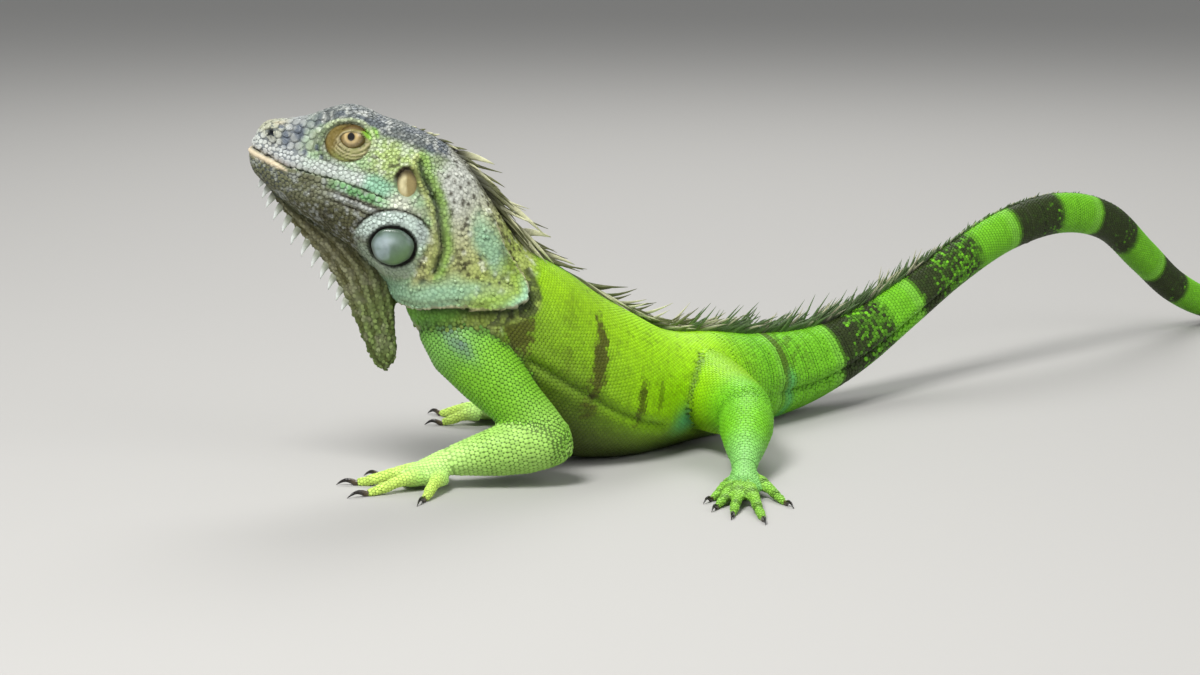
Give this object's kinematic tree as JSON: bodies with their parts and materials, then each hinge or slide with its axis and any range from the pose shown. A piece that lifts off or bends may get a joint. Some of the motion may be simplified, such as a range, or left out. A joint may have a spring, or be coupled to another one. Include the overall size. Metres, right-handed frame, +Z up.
{
  "type": "green iguana",
  "caption": "Life-size still model of a green iguana lying with head and chest raised, its dewlap, crest and splayed clawed feet shown, tail arching to the floor.",
  "frame": {"origin": "on the floor under the flat of the belly", "axes": "+Z up, +X from the head towards the tail, +Y towards the animal's right"},
  "size_m": [0.5817, 0.4804, 0.1511],
  "materials": {
    "skin_head": "scaly skin, satin",
    "skin_body": "scaly skin, satin",
    "skin_tail": "scaly skin, satin, banded",
    "claw": "horn, dark, satin",
    "eye": "wet, glossy",
    "eardrum": "thin stretched skin, satin",
    "shield": "one large smooth pearly scale"
  },
  "bodies": {
    "root": {"belly": "skin_body", "chest": "skin_body", "claw_foot_left_1": "claw", "claw_foot_left_2": "claw", "claw_foot_left_3": "claw", "claw_foot_left_4": "claw", "claw_foot_left_5": "claw", "claw_foot_right_1": "claw", "claw_foot_right_2": "claw", "claw_foot_right_3": "claw", "claw_foot_right_4": "claw", "claw_foot_right_5": "claw", "claw_hand_left_1": "claw", "claw_hand_left_2": "claw", "claw_hand_left_3": "claw", "claw_hand_left_4": "claw", "claw_hand_left_5": "claw", "claw_hand_right_1": "claw", "claw_hand_right_2": "claw", "claw_hand_right_3": "claw", "claw_hand_right_4": "claw", "claw_hand_right_5": "claw", "dewlap": "skin_head", "ear_left": "eardrum", "ear_right": "eardrum", "eye_left": "eye", "eye_right": "eye", "foot_left": "skin_body", "foot_right": "skin_body", "forearm_left": "skin_body", "forearm_right": "skin_body", "hand_left": "skin_body", "hand_right": "skin_body", "head": "skin_head", "jaw": "skin_head", "neck": "skin_head", "shank_left": "skin_body", "shank_right": "skin_body", "shield_left": "shield", "shield_right": "shield", "tail_end": "skin_tail", "tail_front": "skin_tail", "tail_middle": "skin_tail", "tail_rear": "skin_tail", "tail_root": "skin_tail", "thigh_left": "skin_body", "thigh_right": "skin_body", "upper_arm_left": "skin_body", "upper_arm_right": "skin_body"}
  },
  "joints": []
}
